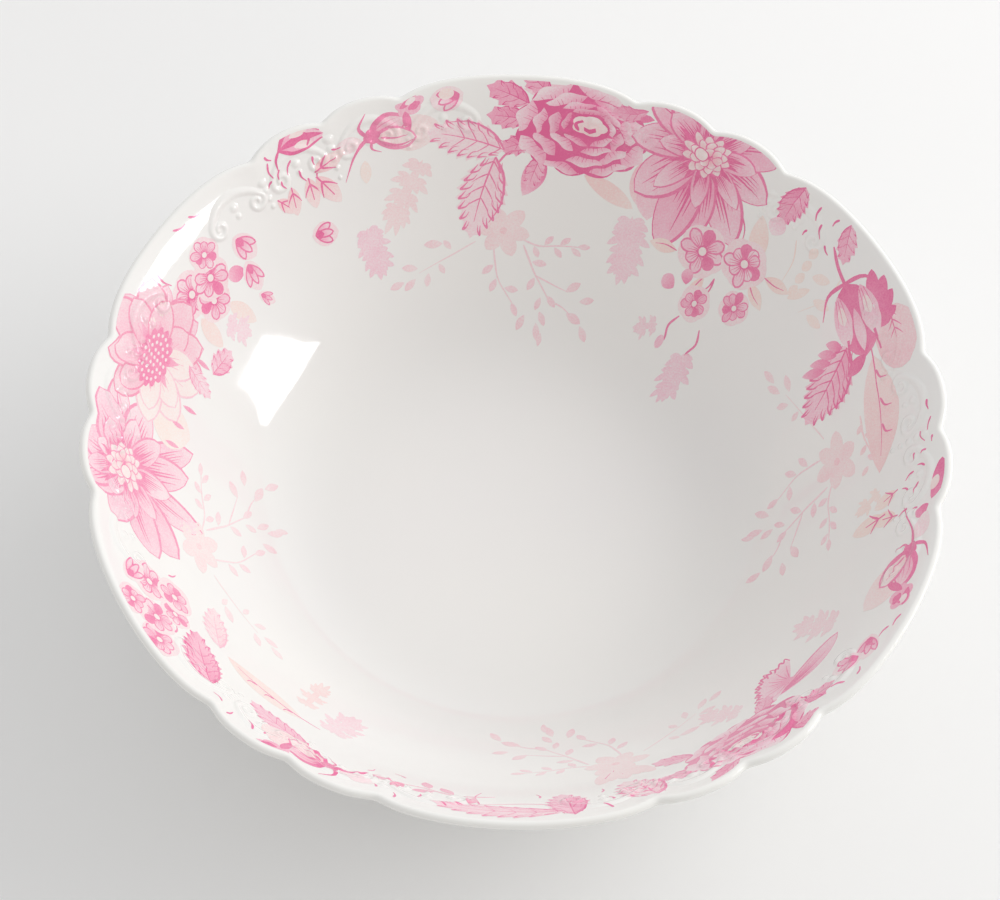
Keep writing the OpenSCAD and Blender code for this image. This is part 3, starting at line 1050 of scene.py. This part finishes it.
def right_dashes(sheet):
    spread(sheet, dash, (4, 5, 10, 5), (1.5, 4, 40, 3), (2.5, 9, -20, 5), (0, 10, 70, 3), (-2, 12, 110, 4),
           (-0.2, 15, 30, 3), (-3, 18, 60, 5), (-5, 20, 120, 4), (-5.5, 14, 20, 5), (-9, 19, 65, 5),
           (-9, 12, 100, 3), (7, 6, 0, 4))
    spread(sheet, Pen.petal, (-2, 1.5, 8, 16, 7, (0.9, 0.7), 0, 1, 0.6),
           (-4.5, 3.5, 20, 6, 4, (0.15, 0.3), 0.6, 1, 0.6), (-9, 4, 60, 8, 5, (0.85, 0.6), 0, 1, 0.7))
    for phi, s, turn, size in ((-4.5, 25, 70, 9), (-9, 23, 95, 10), (-8, 31, 75, 12)):
        one = sheet.at(phi, s, turn)
        one.petal(size * 1.4, size * 0.7, (0.32, 0.2), 0.85, 1, 0.7)
        one.stroke([(-size * 0.1, 0), (size * 0.8, 0)], size * 0.16, 0.85)
        for side in (-1, 1):
            one.stroke([(size * 0.2, 0), (size * 0.45, side * size * 0.22), (size * 0.6, side * size * 0.4)],
                       size * 0.12, 0.85)
    sheet.at(12, 40, -8).stroke([(0, 0), (10, 2), (26, -1)], 1.4, 0.3, 0.4)
    for x in (4, 9, 14, 19, 24):
        sheet.at(12, 40).at(x, 0, 50 - 100 * (x % 2)).petal(5, 2.6, 0.3, 0.4, 1, 0.7)
    maple(sheet.at(-3, 34, 60), 15, 10, 0.22, 0.8, 2)


def bud_branch(sheet, phi, s, turn):
    """A rosebud on a bent stem with a curled flower beside it."""
    pen = sheet.at(phi, s, turn)
    pen.at(4, 2, 16).petal(24, 16, (0.3, 0.2), 0.5, 1, 0.6)
    pen.at(-4, 0, 200).petal(13, 7, (0.25, 0.15), 0.2, 1, 0.7)
    pen.at(0, 0, -14).petal(17, 10, (0.92, 0.8), 0, 1.1, 0.7)
    pen.at(1.2, 0.2, -13).petal(14.5, 7.4, (0.66, 0.3), 0.1, 1.1, 0.7)
    for side in (-1.6, 0, 1.6):
        pen.at(2, side, -13).stroke([(0, 0), (5, side * 0.3), (10, 0)], 0.6, 0.85, 0, 0.2)
    pen.at(0, 1, 22).petal(18, 11, (0.9, 0.7), 0, 1.1, 0.6)
    pen.at(2, 1.6, 22).petal(15, 8.4, (0.42, 0.14), 0.45, 1.1, 0.6)
    pen.at(3, 2, 18).stroke([(0, 0), (5, 0.8), (11, -0.4)], 1.2, 0.85, 0, 0.2)
    pen.blob(3.6, 3.4, 0.9, 0, 4, 0.2)
    for way, thick in ((((-2, -1), (-3, -6), (2, -10)), 2.2), (((1, -3), (6, -6), (11, -6)), 2.2),
                       (((1, 3), (8, 8), (15, 8)), 2.0), (((-2, 0), (-9, 3), (-18, 11)), 2.2),
                       (((-1, 2), (-2, 5), (1, 8)), 1.6)):
        pen.stroke(list(way), thick, 0.9, 0, 0.12)
    curl = pen.at(19, -7)
    curl.blob(6, 5, 0.5, 0, 5, 0.2)
    curl.at(-3, 4, 100).petal(7, 3.5, 0.9, 0, 1, 0.7, -3)
    curl.at(-4, -1, -20).petal(8, 3.2, 0.88, 0, 1, 0.7)
    curl.at(1.5, 1).blob(2.6, 2.0, 0.92, 0, 4, 0.2)
    curl.at(1, -2).blob(2.2, 1.5, 0.16, 0.3)


def right_rosebud(sheet):
    bud_branch(sheet, 344, 11, 10)
    maple(sheet.at(333, 38, 85), 24, 17, 0.25, 0.2, 3)
    spread(sheet, dash, (330, 6, 20, 5), (327.5, 8, 75, 4), (335, 8, 100, 4))


def lower_right_sprays(sheet):
    for phi, s, turn in ((329, 11, -25), (325.5, 10, 30)):
        bud(sheet.at(phi, s, turn), 10, 7, 0.6)
    spread(sheet, dash, (320, 7, 40, 5), (332, 3, 10, 5), (323, 4, 150, 4))
    long_petal(sheet.at(316.5, 37, 186), 36, 9, 77, 0.6, 0.3)
    carnation(sheet.at(320.5, 40, 60), 17, 11)
    maple(sheet.at(312, 48, 60), 21, 15, 0.24, 0.2, 3)


def second_rose(sheet):
    for phi, s, turn, length in ((315, 14, 190, 15), (311, 6, 215, 14), (303, 5, -20, 15), (299, 17, 5, 16),
                                 (300, 33, 38, 18), (312, 34, 140, 15)):
        serrated_leaf(sheet.at(phi, s, turn), length, 0.6 * length, 4, 0.5, 0.92)
    rose(sheet.at(307, 21.5, 0, 26, 19.5), 9, 40)


def near_right_petals(sheet):
    for k in range(5):
        one = sheet.at(294 - 2.2 * k, 35 + 2 * (k % 2), 62 + 14 * k)
        one.petal(17, 8, (0.3, 0.2), 0.4, 1.1, 0.6)
        one.stroke([(8, 0), (15, 0.5)], 1.1, 0.8)
    spread(sheet, serrated_leaf, (291, 3, 78, 29, 18, 8, 0.28, 0.7, 0.2),
           (280, 3, 86, 26, 15, 7, 0.45, 0.85))
    spread(sheet, dash, (284.5, 6, 60, 5), (285, 26, 100, 5), (276, 28, 80, 6), (285.5, 14, 70, 4))


def near_buds(sheet):
    serrated_leaf(sheet.at(279, 7, 2), 44, 12, 9, 0.3, 0.85, 0.1)
    spread(sheet, Pen.stroke, (279, 14, 0, [(0, 0), (14, 3), (30, -1)], 0.8, 0.8, 0, 0.4),
           (268, 14, 0, [(0, 0), (2, 9), (0, 17)], 1.2, 0.85))
    twig(sheet.at(270, 26, -6), [(0, 0), (14, -3), (26, 1), (37, -2)],
         ((0.2, -1, 60), (0.35, 1, 55), (0.5, -1, 50), (0.65, 1, 60), (0.85, -1, 40), (0.97, 1, 20)),
         1.5, 0.6, 8.5, 0.1)
    spread(sheet, dash, (257, 5, 80, 5), (254, 9, 60, 5), (256, 33, 20, 5), (252, 28, 110, 5),
           (263, 9, 30, 5), (260, 13, 95, 4), (253, 20, 75, 5))
    bud_branch(sheet, 247.5, 11, -10)


def near_left_leaves(sheet):
    serrated_leaf(sheet.at(243, 20, 14), 30, 15, 8, 0.42, 0.85)
    barbed_leaf(sheet.at(237.5, 46, -6), 40, 12, 0.26, 0.8)
    spread(sheet, maple, (242, 50, 92, 26, 19, 0.25, 0.1, 3), (235, 58, 74, 28, 13, 0.25, 0.6, 3))
    serrated_leaf(sheet.at(227.5, 12, 38), 34, 18, 9, 0.5, 0.88)
    spread(sheet, dash, (236, 7, 40, 5), (233, 4, 100, 4), (238, 9, 75, 4), (230, 6, 20, 5))


def near_left_flowers(sheet):
    serrated_leaf(sheet.at(220, 41, 30), 26, 13, 7, 0.28, 0.5, 0.2)
    for phi, s, r, seed in ((219, 5, 7, 3), (215, 12, 7.5, 4), (212, 4.5, 6, 5), (214, 25, 6.5, 6),
                            (208.5, 19, 8, 7), (210.5, 31, 8, 8)):
        daisy(sheet.at(phi, s), r, 7 + seed % 2, seed, 0.45)
    bud(sheet.at(208, 8, 60), 10, 7)
    spread(sheet, dash, (217, 19, 50, 5), (206, 36, 80, 5))


def second_dahlia(sheet):
    dahlia(sheet.at(189, 20, -10), 35, 12, 12)


def cream_zinnia(sheet):
    sheet.at(177, 33, 90).petal(22, 20, (0.25, 0.12), 0.9, 1, 0.6)
    for k in range(7):
        one = sheet.at(167.5, 25, -70 + 24 * k)
        long_petal(one, 27, 11, 40 + k, 0.82, 0.36)
    zinnia(sheet.at(168.5, 25, 6), 29, 5)
    for phi, s, length in ((163, 44, 9), (180, 42, 8), (176, 44, 7), (172, 47, 8)):
        sheet.at(phi, s, 88).petal(length, 2.2, 0.7, 0, 1, 1)
    serrated_leaf(sheet.at(165, 43, 110), 17, 9, 6, 0.35, 0.8)


def left_cluster(sheet):
    for phi, s, turn in ((157, 37, 95), (151, 43, 70), (159, 22, 200)):
        sheet.at(phi, s, turn).petal(16, 8, (0.3, 0.2), 0.8, 1, 0.7)
    serrated_leaf(sheet.at(163, 55, 8), 16, 11, 5, 0.4, 0.85)
    for phi, s, r, seed in ((155.5, 27, 9, 11), (153, 37, 8, 12), (151, 29, 8.5, 13), (149.5, 20, 6.5, 14)):
        daisy(sheet.at(phi, s), r, 8, seed, 0.4)
    spread(sheet, dash, (159, 12, 70, 9), (157.5, 13, 80, 8), (150, 4, 20, 6), (147, 5, 30, 5))
    bud(sheet.at(143.5, 25, 70), 11, 8)
    sheet.at(145, 38, 200).petal(9, 7, (0.88, 0.4), 0, 1.1, 0.6)
    spread(sheet, bud, (144, 37, 95, 11, 7), (145, 51, 60, 7, 4, 0.6))
    maple(sheet.at(154, 48, 60), 14, 14, 0.24, 0, 2)


def back_left_sprays(sheet):
    spread(sheet, dash, (133, 9, 95, 7), (132.5, 4, 60, 4), (134, 14, 140, 3), (132, 13, 120, 4),
           (130, 13, 125, 6), (132, 18, 80, 4), (126, 15, 95, 4), (126, 21, 120, 4), (128.5, 19, 75, 6),
           (122, 13, 20, 4))
    for phi, s, turn, size in ((134, 22, 60, 9), (131, 21, 100, 10), (127.8, 21, 95, 11), (126.5, 22, 65, 13),
                               (126.5, 20, -18, 12)):
        one = sheet.at(phi, s, turn)
        one.petal(size * 1.25, size * 0.6, (0.4, 0.2), 0.5, 1, 0.7)
        one.stroke([(0, 0), (size * 0.9, 0)], size * 0.15, 0.85)
        for side in (-1, 1):
            one.stroke([(size * 0.25, 0), (size * 0.5, side * size * 0.2), (size * 0.7, side * size * 0.32)],
                       size * 0.1, 0.85)
    bud(sheet.at(130.5, 45, 15), 10, 8)
    pen = sheet.at(130.5, 4.5, -4)
    pen.petal(19, 11, (0.5, 0.32), 0, 1, 0.6)
    pen.petal(19, 3.6, 0.9, 0, 1, 0.8)
    for side in (-1, 1):
        pen.stroke([(0, 0), (5, side * 4.4), (12, side * 4.6), (18, side * 2)], 2.0, 0.9, 0, 0.3)
        pen.at(6, side * 2.2, side * 8).petal(8, 3.4, (0.16, 0.24), 0.5, 1, 0.8)
    pen.at(12, -2).stroke([(0, 0), (1, 3), (-1, 6)], 1.6, 0.9, 0, 0.4)
    pen.stroke([(0, 0), (-3, 3), (-4, 7)], 1.5)
    maple(sheet.at(121, 52, 90), 23, 17, 0.25, 0, 4)


def back_rosebud(sheet):
    bud_branch(sheet, 116, 15, -12)
    maple(sheet.at(108.5, 30, 128), 36, 17, 0.26, 0.4, 4)
    sheet.at(118, 24, 100).petal(10, 5, 0.2, 0.9, 1, 0.7)


def back_leaves(sheet):
    for phi, turn in ((105.5, 15), (101.5, 165)):
        bud(sheet.at(phi, 5, turn), 10, 8)
    sheet.at(103.5, 4).blob(3, 2.4, 0.25, 0.7)
    spread(sheet, serrated_leaf, (94.8, 30, 200, 34, 18, 8, 0.24, 0.86, 0.1),
           (96.3, 33, 112, 37, 23, 9, 0.25, 0.86, 0.1, -1))
    sheet.at(96, 36).stroke([(0, 0), (5, -5), (12, -6)], 1.2, 0.85)


def sprig(number, phi, s, tone):
    """A pale spray of buds and leaves round a star-shaped flower."""
    sheet = Sheet("print_sprig_%d" % number, phi, SPRIG_R)
    pen = sheet.at(phi, s)
    twig(pen, [(6, 3), (14, 6), (22, 5), (31, 4)],
         ((0.3, 1, 50), (0.45, -1, 50), (0.6, 1, 60), (0.72, -1, 35), (0.85, 1, 40), (0.98, -1, 5)),
         0.9, tone, 5)
    twig(pen, [(-4, 6), (-3.5, 14), (-2, 22), (5, 33)],
         ((0.35, 1, 60), (0.62, 1, 45), (0.8, -1, 50), (0.98, 1, 10)), 0.9, tone, 6)
    twig(pen, [(8, 6), (11, 13), (14, 19), (21, 29)],
         ((0.4, -1, 60), (0.7, 1, 60), (0.98, -1, 10)), 1.1, tone, 6)
    for x, y, turn, size in ((28, 24, -40, 9), (35, 27, -20, 8), (30, 33, 20, 10),
                             (38, 37, 50, 9), (17, 28, 110, 7), (17, 34, 60, 8),
                             (10, 36, 120, 9), (16, 39, 80, 9), (19, 43, 95, 7)):
        pen.at(x, y, turn).petal(size * 0.85, size * 0.4, (tone * 0.8, tone * 1.2), 0.25, 1.1, 0.8)
    pen.stroke([(21, 29), (28, 31), (36, 36)], 0.9, tone * 1.1, 0.2)
    pen.stroke([(14, 19), (22, 22), (29, 24)], 0.9, tone * 1.1, 0.2)
    pen.stroke([(-11, 4), (-20, 8), (-29, 11), (-36, 13)], 0.8, tone * 0.9, 0.3)
    for x, y, turn, size in ((-24, 3, 190, 9), (-21, 6, 240, 6), (-36, 11, 200, 8), (-38, 15, 150, 8),
                             (-32, 14, 110, 7), (-43, 15, 175, 8), (-27, 11, 70, 6)):
        pen.at(x, y, turn).petal(size * 0.85, size * 0.4, (tone * 0.75, tone), 0.25, 1.1, 0.8)
    star(pen, 10.5, 6, tone * 0.9, 0.4)
    return sheet


# The sheets, clockwise from the back: name, middle angle, lift in
# millimetres, strength of ink and what draws it. Neighbours that overlap
# have different lifts.
WREATH = (
    ("print_rose_1", 83, 0, 1.12, first_rose),
    ("print_dahlia_1", 62, 0.02, 1, first_dahlia),
    ("print_daisies_1", 51, 0.04, 0.92, small_daisies),
    ("print_leaf_1", 42, 0, 1.05, leaf_and_dashes),
    ("print_bell", 24, 0.02, 0.93, bell_and_leaves),
    ("print_dashes_1", 0, 0, 1, right_dashes),
    ("print_rosebud_1", 341, 0.02, 0.9, right_rosebud),
    ("print_carnation", 322, 0, 0.9, lower_right_sprays),
    ("print_rose_2", 306, 0.02, 1, second_rose),
    ("print_petals_1", 287, 0, 1, near_right_petals),
    ("print_branch_1", 263, 0.02, 1, near_buds),
    ("print_leaves_1", 232, 0, 1, near_left_leaves),
    ("print_flowers_1", 214, 0.02, 0.85, near_left_flowers),
    ("print_dahlia_2", 189, 0, 0.74, second_dahlia),
    ("print_zinnia", 170, 0.02, 0.74, cream_zinnia),
    ("print_cluster", 152, 0, 0.88, left_cluster),
    ("print_dashes_2", 129, 0.02, 1, back_left_sprays),
    ("print_rosebud_2", 113, 0, 0.82, back_rosebud),
    ("print_leaves_2", 101, 0.02, 0.88, back_leaves),
)
# The pale sprigs: angle, drop from the rim and tone
SPRIGS = ((95, 65, 0.26), (6.5, 56, 0.26), (290, 57, 0.25), (198, 59, 0.2))


def printed_ink():
    """Pink and peach transfer print: the ink attribute gives its tone and
    warmth, and a fine stipple breaks it up as engraving does."""
    nodes = Nodes("printed_pattern")
    point = nodes.add("ShaderNodeTexCoord").outputs["Object"]
    ink = nodes.add("ShaderNodeAttribute", {"attribute_name": "ink", "attribute_type": "GEOMETRY"})
    parts = nodes.add("ShaderNodeSeparateColor", Color=ink.outputs["Color"])
    tone, warmth = parts.outputs["Red"], parts.outputs["Green"]
    stipple = nodes.noise(point, 1500.0, 1.0)
    wash = nodes.noise(point, 130.0, 2.0)
    for texture, amount in ((stipple, 0.34), (wash, 0.16)):
        change = nodes.math("MULTIPLY", nodes.math("SUBTRACT", texture, 0.5), amount)
        tone = nodes.math("ADD", tone, change)
    pink = nodes.ramp(tone, [(0.0, (0.888, 0.86, 0.84)), (0.22, (0.90, 0.70, 0.75)),
                             (0.45, (0.895, 0.47, 0.595)), (0.7, (0.865, 0.27, 0.45)),
                             (1.0, (0.78, 0.12, 0.315))])
    peach = nodes.ramp(tone, [(0.0, (0.888, 0.86, 0.83)), (0.25, (0.90, 0.77, 0.70)),
                              (0.6, (0.90, 0.60, 0.53)), (1.0, (0.86, 0.40, 0.36))])
    nodes.set(nodes.shader, "Base Color", nodes.mix(warmth, pink, peach))
    glaze_finish(nodes, point)
    return nodes.material


# -------------------------------------------------------------------- camera
# Fitted to the photograph's rim. Angles are in degrees, and the lens in
# millimetres on a 36 mm sensor.
CAM_DIST = 5.535 * RIM_R
CAM_ELEVATION = 58.77
CAM_LENS = 87.16
CAM_PAN = -0.3725
CAM_TILT = -0.832
CAM_ROLL = 2.74


def make_camera():
    """Looks down on the rim's centre, as the photograph does."""
    el = math.radians(CAM_ELEVATION)
    place = Vector((0, -math.cos(el), math.sin(el))) * CAM_DIST
    ahead = -place.normalized()
    right = Vector((1, 0, 0))
    ahead += math.radians(CAM_PAN) * right + math.radians(CAM_TILT) * right.cross(ahead)
    ahead.normalize()
    right = ahead.cross(Vector((0, 0, 1))).normalized()
    up = right.cross(ahead)
    turn = math.radians(CAM_ROLL)
    right, up = (right * math.cos(turn) + up * math.sin(turn),
                 up * math.cos(turn) - right * math.sin(turn))
    data = bpy.data.cameras.new("camera")
    data.lens = CAM_LENS
    data.sensor_width = 36
    data.clip_end = 20
    camera = bpy.data.objects.new("camera", data)
    place = (place + Vector((0, 0, RIM_Z))) * MM
    camera.matrix_world = Matrix.Translation(place) @ Matrix((right, up, -ahead)).transposed().to_4x4()
    bpy.context.scene.collection.objects.link(camera)
    bpy.context.scene.camera = camera


# --------------------------------------------------------------------- light
# The window's highlight on the wall: the angle and drop of each corner, and
# how far the side after it bows down. The pane stands at PANE_X.
HIGHLIGHT = ((149.8, 64.1, 0.9), (140.4, 84.7, 3.0), (163.5, 88.6, 0.0), (167.9, 68.7, 1.6))
PANE_X = 1500.0


def make_key():
    """A broad soft light from the back right. The glaze doesn't mirror it."""
    azimuth, elevation, distance = math.radians(27), math.radians(31), 2.1
    data = bpy.data.lights.new("key", "AREA")
    data.shape = "RECTANGLE"
    data.size, data.size_y = 2.3, 1.2
    data.energy = 26.5
    data.color = (1, 0.99, 0.975)
    light = bpy.data.objects.new("key", data)
    place = Vector((math.cos(elevation) * math.cos(azimuth), math.cos(elevation) * math.sin(azimuth),
                    math.sin(elevation))) * distance
    light.location = place
    light.rotation_euler = place.to_track_quat("Z", "Y").to_euler()
    light.visible_glossy = False
    bpy.context.scene.collection.objects.link(light)


def make_sky():
    """Even light from all round, warmer in front and brighter behind."""
    world = bpy.data.worlds.new("studio")
    bpy.context.scene.world = world
    world.use_nodes = True
    tree = world.node_tree
    sky = tree.nodes["Background"]
    where = tree.nodes.new("ShaderNodeTexCoord")
    parts = tree.nodes.new("ShaderNodeSeparateXYZ")
    tree.links.new(where.outputs["Generated"], parts.inputs[0])
    back = tree.nodes.new("ShaderNodeMapRange")
    back.inputs["From Min"].default_value = -1.0
    tree.links.new(parts.outputs["Y"], back.inputs["Value"])
    colour = tree.nodes.new("ShaderNodeMix")
    colour.data_type = "RGBA"
    colour.inputs[6].default_value = (0.84, 0.815, 0.79, 1)
    colour.inputs[7].default_value = (1.01, 1.025, 1.04, 1)
    tree.links.new(back.outputs[0], colour.inputs[0])
    tree.links.new(colour.outputs[2], sky.inputs["Color"])
    sky.inputs["Strength"].default_value = 0.79


def plain_view():
    """Shows colours as they are lit, with no film look."""
    view = bpy.context.scene.view_settings
    view.view_transform = "Standard"
    view.look = "None"
    view.exposure = 0.0


def mirrored(phi, s, eye):
    """Where a light at PANE_X must be for the eye to see it in the glaze at
    this place on the inside wall."""
    nudge = 0.2
    point = wall(phi, s)
    normal = np.cross(wall(phi + nudge, s) - wall(phi - nudge, s),
                      wall(phi, s + nudge) - wall(phi, s - nudge))
    normal /= np.linalg.norm(normal)
    ray = point - eye
    ray -= 2 * np.dot(ray, normal) * normal
    return point + ray * (PANE_X - point[0]) / ray[0]


def make_window():
    """A bright pane to the right, seen only as a reflection in the glaze. Its
    outline is the highlight's, mirrored off the wall."""
    el = math.radians(CAM_ELEVATION)
    eye = np.array([0, -math.cos(el), math.sin(el)]) * CAM_DIST + [0, 0, RIM_Z]
    outline = []
    for here, there in zip(HIGHLIGHT, HIGHLIGHT[1:] + HIGHLIGHT[:1]):
        (phi, s, bow), (next_phi, next_s, _) = here, there
        outline.append(mirrored(phi, s, eye))
        outline.append(mirrored((phi + next_phi) / 2, (s + next_s) / 2 + bow, eye))
    mesh = bpy.data.meshes.new("window")
    mesh.from_pydata([tuple(v) for v in np.array(outline) * MM], [], [tuple(range(len(outline)))])
    material = bpy.data.materials.new("window_light")
    material.use_nodes = True
    material.node_tree.nodes.clear()
    glow = material.node_tree.nodes.new("ShaderNodeEmission")
    glow.inputs["Strength"].default_value = 9
    output = material.node_tree.nodes.new("ShaderNodeOutputMaterial")
    material.node_tree.links.new(glow.outputs[0], output.inputs["Surface"])
    mesh.materials.append(material)
    window = bpy.data.objects.new("window", mesh)
    window.visible_camera = False
    window.visible_diffuse = False
    window.visible_shadow = False
    bpy.context.scene.collection.objects.link(window)


def make_floor():
    """The table, wide enough to fill the picture."""
    mesh = bpy.data.meshes.new("table_top")
    reach = 3.0
    mesh.from_pydata([(-reach, -reach, 0), (reach, -reach, 0), (reach, reach, 0), (-reach, reach, 0)],
                     [], [(0, 1, 2, 3)])
    mesh.materials.append(table_top())
    floor = bpy.data.objects.new("table_top", mesh)
    bpy.context.scene.collection.objects.link(floor)


# --------------------------------------------------------------------- build
make_camera()
make_sky()
make_key()
make_window()
make_floor()
plain_view()
GLAZE = glazed_porcelain()
verts, faces = turned_mesh(ring_rows())
body = new_piece("bowl_wall", verts, faces, GLAZE)
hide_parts("bowl_body")
verts, faces = turned_mesh(foot_rows(), ring=True)
foot = new_piece("foot_rim", verts, faces, foot_finish())
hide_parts("foot_ring")
for number in range(GROUPS):
    scrolls = relief_panel(number, GLAZE)
    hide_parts("rim_relief_%d" % (number + 1))

INK = printed_ink()
for name, phi, lift, ink, draw in WREATH:
    sheet = Sheet(name, phi, WREATH_R, lift, ink)
    draw(sheet)
    sheet.build(INK)
for number, (phi, s, tone) in enumerate(SPRIGS):
    sprig(number + 1, phi, s, tone).build(INK)
